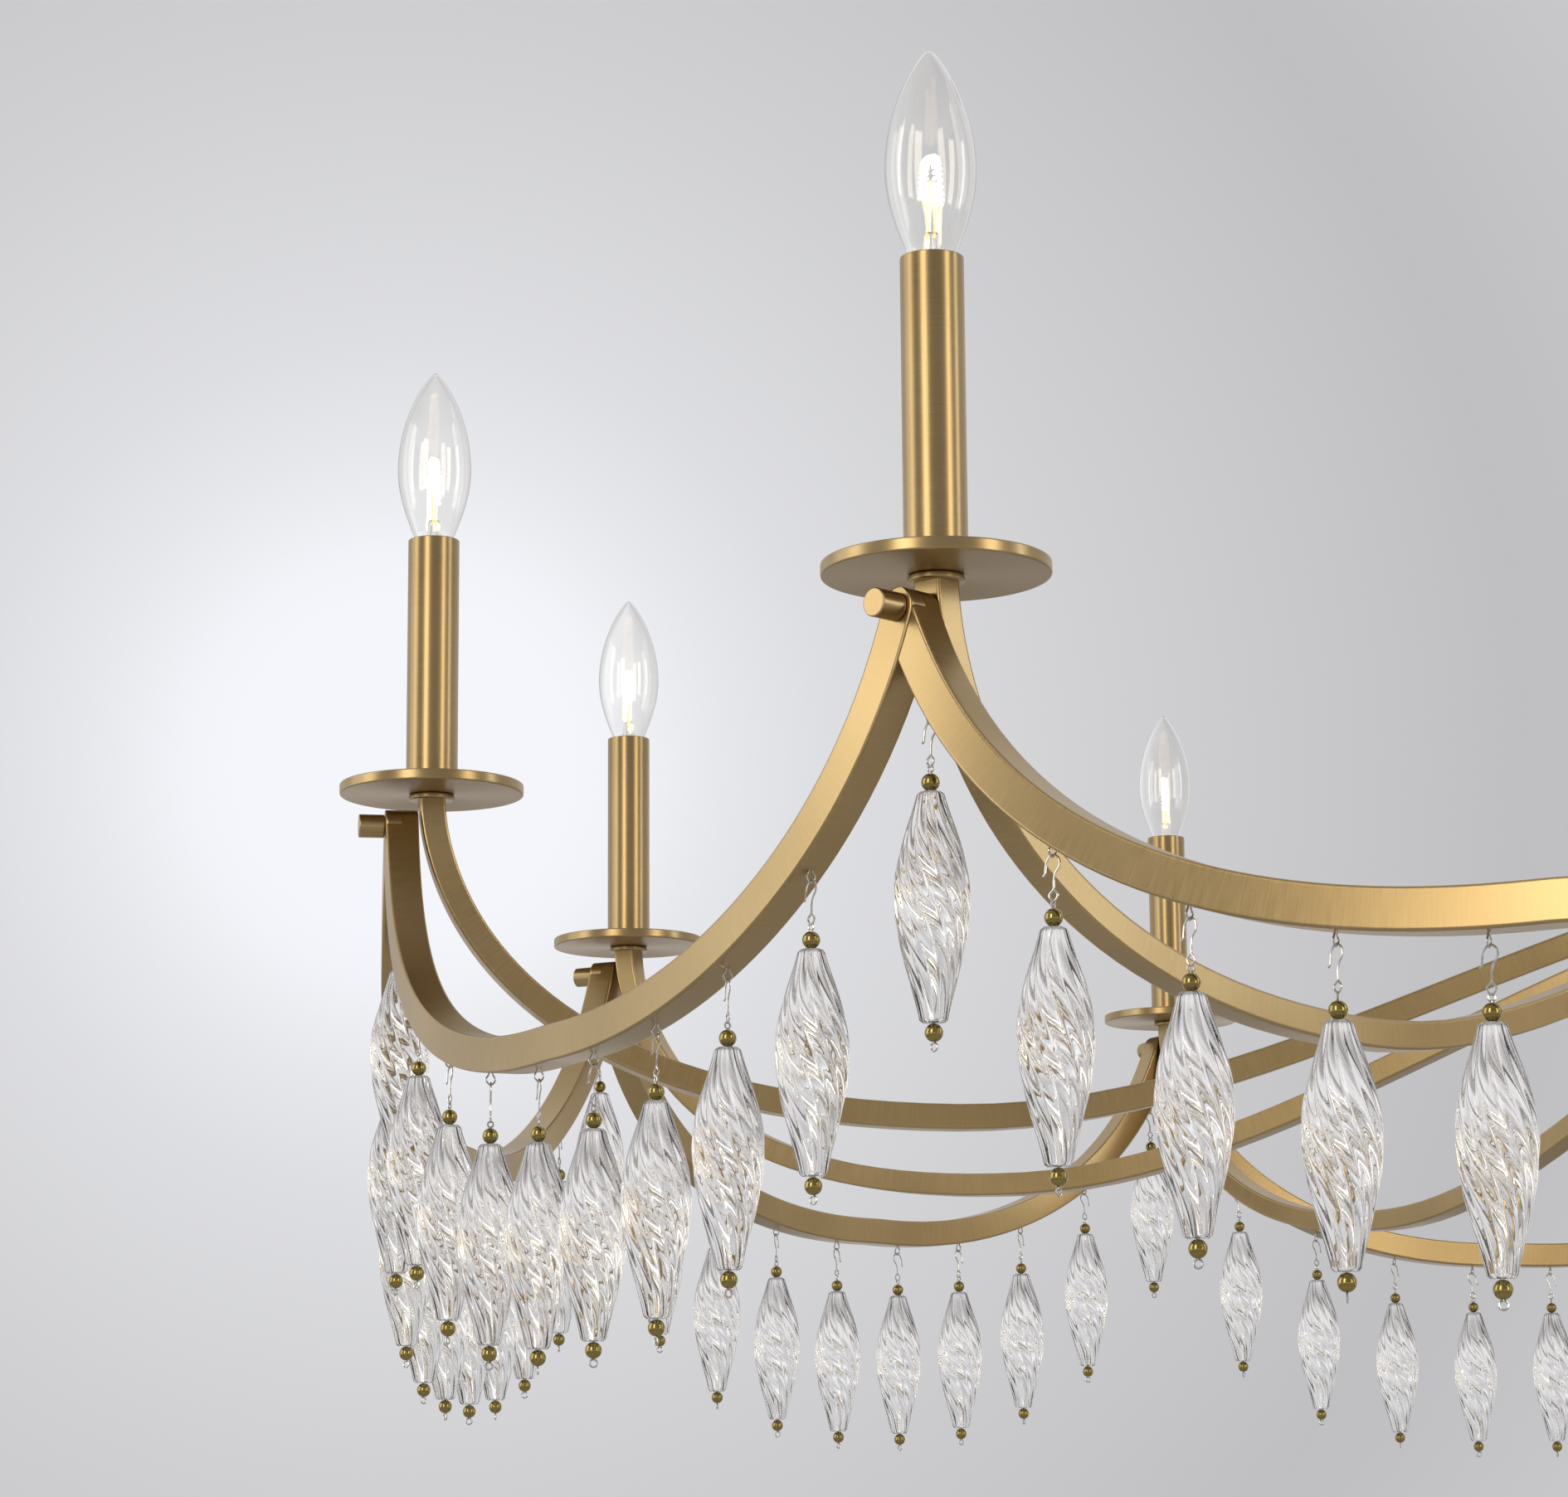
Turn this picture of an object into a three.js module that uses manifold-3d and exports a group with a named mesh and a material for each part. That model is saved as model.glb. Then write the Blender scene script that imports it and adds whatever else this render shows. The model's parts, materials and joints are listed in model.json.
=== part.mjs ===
// A ten-candle ring chandelier. A central hub carries ten curved arms, each arm carries one candle,
// and scalloped bars link neighbouring arms. Glass drops hang along every bar.
// Millimetres, +Z up. The origin is the ceiling face of the mounting strap.
import * as THREE from "three";
import { mergeVertices } from "three/addons/utils/BufferGeometryUtils.js";
import Module from "manifold-3d";

const wasm = await Module();
wasm.setup();

// ---- Ring ----
const STATIONS = 10;
const STEP = (2 * Math.PI) / STATIONS;
const RING_RADIUS = 724.5; // hub axis to candle axis
const DROP = 700; // ceiling down to the underside of the candle dishes
const GAP = 0.3; // left between pieces that touch

// ---- Candle: dish, sleeve and lamp socket. Heights are above the underside of the dish. ----
const DISH_RADIUS = 39.6;
const DISH_THICK = 4.5;
const SLEEVE_RADIUS = 11.1;
const SLEEVE_TOP = 113;
const SOCKET_RADIUS = 7.5;
const SOCKET_FLOOR = 80;
const NIPPLE_RADIUS = 4.8; // threaded stub that holds the candle on its arm
const NIPPLE_TOP = 10;

// ---- Lamp ----
const LAMP_BASE_RADIUS = 7;
const LAMP_NECK_RADIUS = 8;
const LAMP_RADIUS = 16;
const LAMP_HEIGHT = 76; // glass above the sleeve
const LAMP_WIDEST = 0.42; // share of the height at which the glass is widest

// ---- Arm ----
const ARM_HIGH = 11;
const ARM_WIDE = 12;
const ARM_LOWEST = -137; // centreline, at ARM_LOWEST_AT from the candle axis
const ARM_LOWEST_AT = 229;
const COLLAR_RADIUS = 9.8;
const COLLAR_THICK = 2.3;

// ---- Swag bar ----
const SWAG_RADIUS = 737.5; // hub axis to the middle of the bar at its joints
const SWAG_INSET = 10; // how far inside that circle the bar's middle runs
const SWAG_HALF = 7.05; // half of the square section
const SWAG_LOWEST = -136;
const SWAG_HALF_ARC = (SWAG_RADIUS * STEP) / 2;
const LAP_CLEARANCE = 0.8; // between one bar and the neighbour notched round it
const PIN_HEIGHT = -14; // the pin that holds two bar ends on an arm
const PIN_RADIUS = 2.4;
const NUT_RADIUS = 5;
const NUT_LONG = 11;

// ---- Glass drop: heights are above the centre of its top ball ----
const BALL_RADIUS = 3.1;
const WIRE_RADIUS = 0.7;
const DROP_TOP = -3.2;
const DROP_WIDEST = -40;
const DROP_BOTTOM = -81;
const DROP_TOP_RADIUS = 3.5;
const DROP_RADIUS = 12.8;
const DROP_BOTTOM_RADIUS = 4.6;
const LOWER_BALL = -84.2;
const DROP_END = -91.3;
const HOOK_LONG = 24.8; // underside of a bar to the top ball
const DROPS_PER_SWAG = 8;
const FIRST_DROP = 58; // along the bar from its left-hand joint
const DROP_PITCH = 50.5;

// ---- Drop that swings under each joint ----
const POCKET_ARC = 8; // along the ring from the joint
const POCKET_RADIUS = 2.6;
const POCKET_TOP = -46;
const SWING_PIVOT = -50;
const SWING_BALL = -74.4;

// ---- Hub, stem and ceiling parts ----
const HUB_RADIUS = 49.5;
const HUB_TOP = 4;
const HUB_BOTTOM = -44;
const ARM_AT_HUB = -20;
const STEM_RADIUS = 7;
const STEM_BORE = 4.5;
const COUPLER_HEIGHT = -355;
const COUPLER_LONG = 26;
const COUPLER_RADIUS = 10.5;
const BALL_JOINT_RADIUS = 15;
const BALL_JOINT_HEIGHT = -33;
const BALL_BORE_TOP = 9;
const CANOPY_RADIUS = 65;
const CANOPY_WALL = 2;
const CANOPY_TOP = -1;
const CANOPY_FLOOR = -44;
const CANOPY_HOLE = 12.3;
const STRAP_LONG = 104;
const STRAP_WIDE = 24;
const STRAP_THICK = 3;

// ---- Materials ----
const brass = new THREE.MeshStandardMaterial({ color: 0xb08d57, roughness: 0.32, metalness: 1 });
const glass = new THREE.MeshStandardMaterial({ color: 0xdfe4e6, roughness: 0.05, metalness: 0 });
const lampGlass = new THREE.MeshStandardMaterial({ color: 0xffe3b0, roughness: 0.05, metalness: 0 });
const steel = new THREE.MeshStandardMaterial({ color: 0xb4b6b8, roughness: 0.4, metalness: 1 });

// ---- Solid helpers ----
function toSolid(geometry) {
  const bare = geometry.clone();
  bare.deleteAttribute("normal");
  bare.deleteAttribute("uv");
  const merged = mergeVertices(bare, 1e-4);
  return new wasm.Manifold(
    new wasm.Mesh({
      numProp: 3,
      vertProperties: merged.attributes.position.array,
      triVerts: new Uint32Array(merged.index.array),
    }),
  );
}

function toGeometry(solid) {
  const { vertProperties, triVerts } = solid.getMesh();
  const geometry = new THREE.BufferGeometry();
  geometry.setAttribute("position", new THREE.BufferAttribute(vertProperties, 3));
  geometry.setIndex(new THREE.BufferAttribute(triVerts, 1));
  geometry.computeVertexNormals();
  return geometry;
}

function join(geometries) {
  return geometries.map(toSolid).reduce((whole, piece) => whole.add(piece));
}

function cut(solid, geometries) {
  return geometries.map(toSolid).reduce((whole, tool) => whole.subtract(tool), solid);
}

// A turned shape about Z, from [radius, height] points that go up its outside.
function turned(profile, sides) {
  const points = profile.map(([radius, height]) => new THREE.Vector2(radius, height));
  return new THREE.LatheGeometry(points, sides).rotateX(Math.PI / 2);
}

// A closed skin through rings of points. Every ring has the same number of corners.
function skin(rings) {
  const corners = rings[0].length;
  const positions = rings.flat().flatMap((point) => [point.x, point.y, point.z]);
  const index = [];
  for (let ring = 0; ring < rings.length - 1; ring += 1) {
    for (let corner = 0; corner < corners; corner += 1) {
      const a = ring * corners + corner;
      const b = ring * corners + ((corner + 1) % corners);
      index.push(a, b, b + corners, a, b + corners, a + corners);
    }
  }
  const last = (rings.length - 1) * corners;
  for (let corner = 1; corner < corners - 1; corner += 1) {
    index.push(0, corner + 1, corner);
    index.push(last, last + corner, last + corner + 1);
  }
  const geometry = new THREE.BufferGeometry();
  geometry.setAttribute("position", new THREE.Float32BufferAttribute(positions, 3));
  geometry.setIndex(index);
  return geometry;
}

// The four corners of a bar's section: halfHigh either side of the curve in its own plane (u, z),
// and from near to far across that plane.
function sectionCorners(curve, t, halfHigh, near, far) {
  const centre = curve.getPoint(t);
  const along = curve.getTangent(t);
  const normal = new THREE.Vector2(-along.y, along.x).multiplyScalar(halfHigh);
  const upper = centre.clone().add(normal);
  const lower = centre.clone().sub(normal);
  return [
    { u: lower.x, z: lower.y, across: near },
    { u: lower.x, z: lower.y, across: far },
    { u: upper.x, z: upper.y, across: far },
    { u: upper.x, z: upper.y, across: near },
  ];
}

function steps(count) {
  return Array.from({ length: count + 1 }, (unused, i) => i / count);
}

// A rod along the outward direction, from one radius to another, turned to an angle on the ring.
function radialRod(radius, from, to, angle, sides) {
  const rod = new THREE.CylinderGeometry(radius, radius, to - from, sides);
  return rod.translate(0, -(from + to) / 2, PIN_HEIGHT).rotateZ(angle);
}

// ---- Candle and lamp ----
function candleGeometry() {
  return turned(
    [
      [NIPPLE_RADIUS + GAP, 0],
      [DISH_RADIUS - 0.6, 0],
      [DISH_RADIUS, 1],
      [DISH_RADIUS, DISH_THICK],
      [SLEEVE_RADIUS, DISH_THICK],
      [SLEEVE_RADIUS, SLEEVE_TOP],
      [SOCKET_RADIUS, SLEEVE_TOP],
      [SOCKET_RADIUS, SOCKET_FLOOR],
      [NIPPLE_RADIUS + GAP, SOCKET_FLOOR],
      [NIPPLE_RADIUS + GAP, 0],
    ],
    14,
  );
}

function lampRadius(share) {
  const bulge = LAMP_RADIUS - LAMP_NECK_RADIUS;
  if (share < LAMP_WIDEST) {
    return LAMP_NECK_RADIUS + bulge * Math.sin((Math.PI / 2) * (share / LAMP_WIDEST));
  }
  const above = (share - LAMP_WIDEST) / (1 - LAMP_WIDEST);
  return LAMP_RADIUS * Math.cos((Math.PI / 2) * above) ** 0.7;
}

function lampGeometry() {
  const glassRows = steps(5)
    .slice(0, -1)
    .map((share) => [lampRadius(share), SLEEVE_TOP + GAP + share * LAMP_HEIGHT]);
  return turned(
    [
      [0, SOCKET_FLOOR + GAP],
      [LAMP_BASE_RADIUS, SOCKET_FLOOR + 3],
      [LAMP_BASE_RADIUS, SLEEVE_TOP + GAP],
      ...glassRows,
      [0, SLEEVE_TOP + GAP + LAMP_HEIGHT],
    ],
    12,
  );
}

// ---- Arm: u runs inward from the candle axis ----
function armRings(curve, count) {
  return steps(count).map((t) =>
    sectionCorners(curve, t, ARM_HIGH / 2, ARM_WIDE / 2, -ARM_WIDE / 2).map(
      ({ u, z, across }) => new THREE.Vector3(across, u - RING_RADIUS, z),
    ),
  );
}

function armGeometry() {
  const outerBend = new THREE.CubicBezierCurve(
    new THREE.Vector2(0, -1),
    new THREE.Vector2(0, -19),
    new THREE.Vector2(9, ARM_LOWEST),
    new THREE.Vector2(ARM_LOWEST_AT, ARM_LOWEST),
  );
  const hubEnd = RING_RADIUS - HUB_RADIUS - GAP;
  const innerBend = new THREE.CubicBezierCurve(
    new THREE.Vector2(ARM_LOWEST_AT, ARM_LOWEST),
    new THREE.Vector2(ARM_LOWEST_AT + 150, ARM_LOWEST),
    new THREE.Vector2(hubEnd - 150, ARM_AT_HUB),
    new THREE.Vector2(hubEnd, ARM_AT_HUB),
  );
  const bar = skin([...armRings(outerBend, 10), ...armRings(innerBend, 7).slice(1)]);
  const collar = turned(
    [
      [0, -COLLAR_THICK - GAP],
      [COLLAR_RADIUS - 0.6, -COLLAR_THICK - GAP],
      [COLLAR_RADIUS, -COLLAR_THICK / 2],
      [COLLAR_RADIUS, -GAP],
      [NIPPLE_RADIUS, -GAP],
      [NIPPLE_RADIUS, NIPPLE_TOP],
      [0, NIPPLE_TOP],
    ],
    14,
  ).translate(0, -RING_RADIUS, 0);
  const nutFrom = SWAG_RADIUS + SWAG_HALF + GAP;
  const pin = radialRod(PIN_RADIUS, RING_RADIUS, nutFrom + 1, 0, 8);
  const nut = radialRod(NUT_RADIUS, nutFrom, nutFrom + NUT_LONG, 0, 12);
  return toGeometry(join([bar, collar, pin, nut]));
}

// ---- Swag bar: u runs along the ring circle from the middle of the bar ----
const swagHalfCurve = new THREE.CubicBezierCurve(
  new THREE.Vector2(0, SWAG_LOWEST),
  new THREE.Vector2(0.1 * SWAG_HALF_ARC, SWAG_LOWEST),
  new THREE.Vector2(0.796 * SWAG_HALF_ARC, SWAG_LOWEST - 9.5),
  new THREE.Vector2(SWAG_HALF_ARC, PIN_HEIGHT),
);

// The radius of the bar's centreline, a distance along the ring from the bar's middle.
function swagRadius(arc) {
  return SWAG_RADIUS - SWAG_INSET * (1 - (arc / SWAG_HALF_ARC) ** 2) ** 2;
}

// The bar's section at a share of the half curve, on the right (side 1) or the left (side -1).
function swagRing(t, side, halfHigh, near, far) {
  return sectionCorners(swagHalfCurve, t, halfHigh, near, far).map(({ u, z, across }) => {
    const angle = (side * u) / SWAG_RADIUS;
    const radius = swagRadius(u) - across;
    return new THREE.Vector3(radius * Math.sin(angle), -radius * Math.cos(angle), z);
  });
}

// A layer of the bar from near to far, measured inward from its middle, with its two round ends.
function swagLayer(halfHigh, near, far, rows) {
  const left = steps(rows).slice(1).reverse();
  const rings = [
    ...left.map((t) => swagRing(t, -1, halfHigh, near, far)),
    ...steps(rows).map((t) => swagRing(t, 1, halfHigh, near, far)),
  ];
  const ends = [-1, 1].map((side) =>
    radialRod(halfHigh, SWAG_RADIUS - far, SWAG_RADIUS - near, (side * STEP) / 2, 12),
  );
  return join([skin(rings), ...ends]);
}

// A fixed drop under the bar, a distance along the ring from the bar's middle. Its outline is
// plainer than a swinging drop's: the balls run straight into the glass.
function rowDrop(arc) {
  const t = steps(200).find((step) => swagHalfCurve.getPoint(step).x >= Math.abs(arc));
  const centre = swagHalfCurve.getPoint(t);
  const along = swagHalfCurve.getTangent(t);
  const underside = centre.y - SWAG_HALF / along.x;
  const ball = underside - HOOK_LONG;
  return turned(
    [
      [0, DROP_END],
      [DROP_BOTTOM_RADIUS, DROP_BOTTOM],
      [DROP_RADIUS, DROP_WIDEST],
      [BALL_RADIUS, 0],
      [WIRE_RADIUS, BALL_RADIUS],
      [WIRE_RADIUS, centre.y - ball],
      [0, centre.y - ball],
    ],
    6,
  )
    .translate(0, -swagRadius(arc), ball)
    .rotateZ(arc / SWAG_RADIUS);
}

function swagGeometry() {
  const rows = 9;
  const notch = SWAG_HALF + LAP_CLEARANCE;
  const bar = swagLayer(SWAG_HALF, -SWAG_HALF, SWAG_HALF, rows);
  const leftNeighbour = swagLayer(notch, -notch, GAP / 2, rows).rotate([0, 0, (-STEP * 180) / Math.PI]);
  const rightNeighbour = swagLayer(notch, -GAP / 2, notch, rows).rotate([0, 0, (STEP * 180) / Math.PI]);
  const pinHoles = [-1, 1].map((side) =>
    radialRod(PIN_RADIUS + GAP, RING_RADIUS, SWAG_RADIUS + 20, (side * STEP) / 2, 8),
  );
  const pocket = new THREE.CylinderGeometry(POCKET_RADIUS, POCKET_RADIUS, 40, 8)
    .rotateX(Math.PI / 2)
    .translate(0, -SWAG_RADIUS, POCKET_TOP - 20)
    .rotateZ(POCKET_ARC / SWAG_RADIUS - STEP / 2);
  const notched = bar.subtract(leftNeighbour).subtract(rightNeighbour);
  const drilled = cut(notched, [...pinHoles, pocket]);
  const places = Array.from(
    { length: DROPS_PER_SWAG },
    (unused, i) => FIRST_DROP + i * DROP_PITCH - SWAG_HALF_ARC,
  );
  return toGeometry(drilled.add(join(places.map(rowDrop))));
}

// ---- The drop that swings under each joint ----
function swingingDropGeometry() {
  const wireTop = SWING_PIVOT + 3 - SWING_BALL;
  return turned(
    [
      [0, DROP_END],
      [BALL_RADIUS, LOWER_BALL],
      [DROP_BOTTOM_RADIUS, DROP_BOTTOM],
      [DROP_RADIUS, DROP_WIDEST],
      [DROP_TOP_RADIUS, DROP_TOP],
      [BALL_RADIUS, 0],
      [WIRE_RADIUS, BALL_RADIUS],
      [WIRE_RADIUS, wireTop],
      [0, wireTop],
    ],
    8,
  )
    .translate(0, -SWAG_RADIUS, SWING_BALL)
    .rotateZ(POCKET_ARC / SWAG_RADIUS);
}

// ---- Hub ----
function hubDrumGeometry() {
  return turned(
    [
      [STEM_RADIUS + GAP, HUB_BOTTOM],
      [HUB_RADIUS - 2, HUB_BOTTOM],
      [HUB_RADIUS, HUB_BOTTOM + 2],
      [HUB_RADIUS, HUB_TOP - 2],
      [HUB_RADIUS - 2, HUB_TOP],
      [STEM_RADIUS + GAP, HUB_TOP],
      [STEM_RADIUS + GAP, HUB_BOTTOM],
    ],
    20,
  );
}

function hubCapGeometry() {
  const base = HUB_TOP + GAP;
  return turned(
    [
      [STEM_RADIUS + GAP, base],
      [40, base],
      [38, base + 6],
      [26, base + 16],
      [14, base + 22],
      [12, base + 34],
      [STEM_RADIUS + GAP, base + 34],
      [STEM_RADIUS + GAP, base],
    ],
    16,
  );
}

function finialGeometry() {
  const top = HUB_BOTTOM - GAP;
  return turned(
    [
      [0, top - 46],
      [5, top - 43],
      [6, top - 36],
      [3.5, top - 31],
      [14, top - 20],
      [17, top - 11],
      [13, top - 3],
      [32, top - 1.5],
      [32, top],
      [STEM_RADIUS - 1, top],
      [STEM_RADIUS - 1, top + 12],
      [0, top + 12],
    ],
    14,
  );
}

// ---- Stem and ceiling parts ----
function tube(outer, inner, bottom, top, sides) {
  return turned(
    [
      [inner, bottom],
      [outer, bottom],
      [outer, top],
      [inner, top],
      [inner, bottom],
    ],
    sides,
  );
}

function swivelBallGeometry() {
  const rows = 7;
  const lowest = Math.acos(STEM_RADIUS / BALL_JOINT_RADIUS) - 0.05;
  const sphereRows = steps(rows).map((share) => {
    const latitude = -lowest + share * (Math.PI / 2 + lowest);
    return [BALL_JOINT_RADIUS * Math.cos(latitude), BALL_JOINT_RADIUS * Math.sin(latitude)];
  });
  return turned(
    [
      [0, BALL_BORE_TOP],
      [STEM_RADIUS + GAP, BALL_BORE_TOP],
      [STEM_RADIUS + GAP, sphereRows[0][1]],
      ...sphereRows.slice(0, -1),
      [0, BALL_JOINT_RADIUS],
    ],
    16,
  ).translate(0, 0, BALL_JOINT_HEIGHT);
}

function canopyGeometry() {
  const wall = CANOPY_WALL;
  return turned(
    [
      [CANOPY_HOLE, CANOPY_FLOOR],
      [CANOPY_RADIUS - 14, CANOPY_FLOOR],
      [CANOPY_RADIUS - 4, CANOPY_FLOOR + 6],
      [CANOPY_RADIUS, CANOPY_FLOOR + 18],
      [CANOPY_RADIUS, CANOPY_TOP],
      [CANOPY_RADIUS - wall, CANOPY_TOP],
      [CANOPY_RADIUS - wall, CANOPY_FLOOR + 18],
      [CANOPY_RADIUS - 4 - wall, CANOPY_FLOOR + 7],
      [CANOPY_RADIUS - 14, CANOPY_FLOOR + wall],
      [CANOPY_HOLE, CANOPY_FLOOR + wall],
      [CANOPY_HOLE, CANOPY_FLOOR],
    ],
    24,
  );
}

// The strap: a flat bar with a slot for a ceiling screw either side of its middle.
function strapGeometry() {
  const outline = new THREE.Shape();
  outline.moveTo(-STRAP_LONG / 2, -STRAP_WIDE / 2);
  outline.lineTo(STRAP_LONG / 2, -STRAP_WIDE / 2);
  outline.lineTo(STRAP_LONG / 2, STRAP_WIDE / 2);
  outline.lineTo(-STRAP_LONG / 2, STRAP_WIDE / 2);
  outline.closePath();
  [-1, 1].forEach((side) => {
    const slot = new THREE.Path();
    slot.absarc(side * 34 + 5, 0, 2.2, -Math.PI / 2, Math.PI / 2);
    slot.absarc(side * 34 - 5, 0, 2.2, Math.PI / 2, (3 * Math.PI) / 2);
    slot.closePath();
    outline.holes.push(slot);
  });
  return new THREE.ExtrudeGeometry(outline, {
    depth: STRAP_THICK,
    bevelEnabled: false,
    curveSegments: 6,
  }).translate(0, 0, -STRAP_THICK);
}

// ---- Assembly ----
function piece(name, geometry, material, turn = 0) {
  const mesh = new THREE.Mesh(geometry, material);
  mesh.name = name;
  mesh.rotation.z = turn;
  return mesh;
}

const stemTop = BALL_JOINT_HEIGHT + BALL_BORE_TOP - GAP;
const lowerStem = tube(STEM_RADIUS, STEM_BORE, -DROP - 20, COUPLER_HEIGHT - GAP, 16);
const upperStem = tube(STEM_RADIUS, STEM_BORE, COUPLER_HEIGHT, stemTop, 16);
const coupler = tube(
  COUPLER_RADIUS,
  STEM_RADIUS + GAP,
  COUPLER_HEIGHT - COUPLER_LONG / 2,
  COUPLER_HEIGHT + COUPLER_LONG / 2,
  16,
);

const ring = new THREE.Group();
ring.position.z = -DROP;
const arm = armGeometry();
const swag = swagGeometry();
const candle = candleGeometry().translate(0, -RING_RADIUS, 0);
const lamp = lampGeometry().translate(0, -RING_RADIUS, 0);
const drop = swingingDropGeometry();
for (let station = 0; station < STATIONS; station += 1) {
  const label = station + 1;
  const turn = station * STEP;
  ring.add(piece(`arm_${label}`, arm, brass, turn));
  ring.add(piece(`swag_${label}`, swag, brass, turn + STEP / 2));
  ring.add(piece(`candle_${label}`, candle, brass, turn));
  ring.add(piece(`bulb_${label}`, lamp, lampGlass, turn));
  ring.add(piece(`pendant_${label}`, drop, glass, turn));
}
ring.add(piece("hub_drum", hubDrumGeometry(), brass));
ring.add(piece("hub_top_cap", hubCapGeometry(), brass));
ring.add(piece("hub_finial", finialGeometry(), brass));

const chandelier = new THREE.Group();
chandelier.add(ring);
chandelier.add(piece("stem_lower", lowerStem, brass));
chandelier.add(piece("stem_upper", upperStem, brass));
chandelier.add(piece("stem_coupler", coupler, brass));
chandelier.add(piece("swivel_ball", swivelBallGeometry(), brass));
chandelier.add(piece("canopy", canopyGeometry(), brass));
chandelier.add(piece("mounting_strap", strapGeometry(), steel));

export default chandelier;
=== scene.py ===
"""A brass ring chandelier with candle lamps, scalloped bars and hanging glass drops."""

import json
import math

import bmesh
import bpy
from mathutils import Matrix, Vector
from mathutils.geometry import interpolate_bezier

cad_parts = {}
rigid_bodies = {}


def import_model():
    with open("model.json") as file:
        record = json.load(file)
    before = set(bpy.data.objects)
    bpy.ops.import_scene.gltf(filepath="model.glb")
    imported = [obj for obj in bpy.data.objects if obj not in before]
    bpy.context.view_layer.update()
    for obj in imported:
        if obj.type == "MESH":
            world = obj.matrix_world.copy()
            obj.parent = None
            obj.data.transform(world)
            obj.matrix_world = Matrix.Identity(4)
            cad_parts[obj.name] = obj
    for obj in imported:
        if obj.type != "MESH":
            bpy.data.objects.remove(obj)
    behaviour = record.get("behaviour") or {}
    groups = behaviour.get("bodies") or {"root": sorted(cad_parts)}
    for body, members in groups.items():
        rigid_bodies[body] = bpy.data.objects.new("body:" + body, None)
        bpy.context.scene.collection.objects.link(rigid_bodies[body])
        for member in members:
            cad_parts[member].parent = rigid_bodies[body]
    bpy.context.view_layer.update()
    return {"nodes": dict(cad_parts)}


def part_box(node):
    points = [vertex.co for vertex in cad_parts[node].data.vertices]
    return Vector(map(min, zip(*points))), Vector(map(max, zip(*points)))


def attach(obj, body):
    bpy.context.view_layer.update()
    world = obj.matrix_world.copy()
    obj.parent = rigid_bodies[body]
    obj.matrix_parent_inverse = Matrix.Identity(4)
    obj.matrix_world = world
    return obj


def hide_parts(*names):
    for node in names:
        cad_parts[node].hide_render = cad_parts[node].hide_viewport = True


# ---- Sizes in metres ----
# The ceiling is at z = 0. Heights are from the underside of the candle dishes, which is at z = RING_Z.
STATIONS = 10
STEP = math.tau / STATIONS
RING_Z = -0.700
RING_RADIUS = 0.7245

# Candle: dish, sleeve and collar
DISH_RADIUS = 0.0396
DISH_THICK = 0.0045
SLEEVE_RADIUS = 0.0111
SLEEVE_TOP = 0.113
COLLAR_RADIUS = 0.0098
COLLAR_THICK = 0.0024

# Torpedo lamp
LAMP_RADIUS = 0.016
LAMP_NECK = 0.008
LAMP_HEIGHT = 0.076
LAMP_WIDEST = 0.42
LAMP_WALL = 0.0006
LAMP_FOOT_Z = SLEEVE_TOP - 0.006
LAMP_BASE_RADIUS = 0.0070
LAMP_BASE_LONG = 0.024

# Arm
ARM_HIGH = 0.011
ARM_WIDE = 0.012
ARM_LOWEST_Z = -0.137
ARM_LOWEST_AT = 0.229
ARM_HUB_Z = -0.020

# Swag: the scalloped bar between two joints, and the pin and nut that clamp it
SWAG_RADIUS = 0.7375
SWAG_HALF = 0.00705
SWAG_INSET = 0.010
SWAG_LOWEST_Z = -0.136
SWAG_HALF_ARC = SWAG_RADIUS * STEP / 2
PIN_Z = -0.014
LAP_GAP = 0.0005
EDGE = 0.0011
NUT_RADIUS = 0.005
NUT_LONG = 0.011

# Glass drops, their pins and hooks. GLASS_TOP, HOOK_LONG and HOOK_CROOK are heights from the upper ball.
DROPS_PER_SWAG = 8
FIRST_DROP = 0.058
DROP_PITCH = 0.0505
BALL_RADIUS = 0.0031
BALL_SPACING = 0.0842
GLASS_TOP = -0.0032
GLASS_LONG = 0.0778
GLASS_RADIUS = 0.0128
GLASS_TOP_RADIUS = 0.0046
GLASS_FOOT_RADIUS = 0.0047
GLASS_WIDEST = 0.45
FLUTES = 13
SIDES_PER_FLUTE = 12
FLUTE_DEPTH = 0.09
TWIST = math.radians(105)
BORE_RADIUS = 0.0011
WIRE_RADIUS = 0.00036
HOOK_LONG = 0.0248
HOOK_CROOK = 0.0208
SWING_ARC = 0.0080
SWING_BALL_Z = -0.0744
POCKET_RADIUS = 0.0026
POCKET_TOP_Z = -0.046

# Hub and stem. SWIVEL_Z is from the ceiling.
HUB_RADIUS = 0.0495
STEM_RADIUS = 0.007
SWIVEL_Z = -0.033
SWIVEL_RADIUS = 0.015

# Studio. FLOOR_Z is from the ceiling.
FLOOR_Z = -2.3
FLOOR_RADIUS = 30
FLOOR_GLOW_FROM = 4.5
FLOOR_GLOW_FULL = 9.0
FLOOR_GLOW = 0.46
LIGHT_DISTANCE = 3.2
BRIGHT_PATCH_TOWARD = (-0.7515, 0.6316, 0.1908)

# Camera, at the photograph's viewing angle
CAMERA_PLACE = (0.9723, -1.7768, RING_Z - 0.3438)
CAMERA_HEADING = math.radians(44.83)
CAMERA_PITCH = math.radians(11.23)
CAMERA_ROLL = math.radians(-0.41)
CAMERA_LENS = 99.1


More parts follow.
